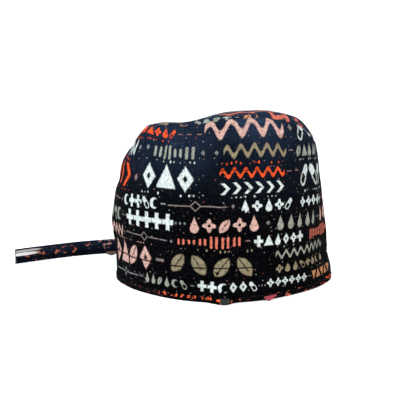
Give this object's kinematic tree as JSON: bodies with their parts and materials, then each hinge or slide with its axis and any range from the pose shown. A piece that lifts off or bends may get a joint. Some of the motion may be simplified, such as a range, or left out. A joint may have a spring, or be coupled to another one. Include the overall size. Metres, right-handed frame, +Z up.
{
  "type": "surgical scrub cap",
  "caption": "Cloth surgical scrub cap with a tall printed band, a puffed crown, a bound hem and tie straps at the nape.",
  "frame": {"origin": "middle of the cap's own box on the surface it stands on, without the ties", "axes": "+Z up, -Y out of the cap's front, +X to the right as the front is looked at"},
  "size_m": [0.2693, 0.2511, 0.1355],
  "materials": {
    "printed_cotton": "matt plain-weave cotton, dark navy with a small bright print",
    "hem_cotton": "matt plain-weave cotton, near black navy",
    "label_tape": "matt woven tape, dull pink red"
  },
  "bodies": {
    "root": {"crown": "printed_cotton", "band": "printed_cotton", "hem": "hem_cotton", "tie_left": "printed_cotton", "tie_right": "printed_cotton", "label_tab": "label_tape"}
  },
  "joints": []
}
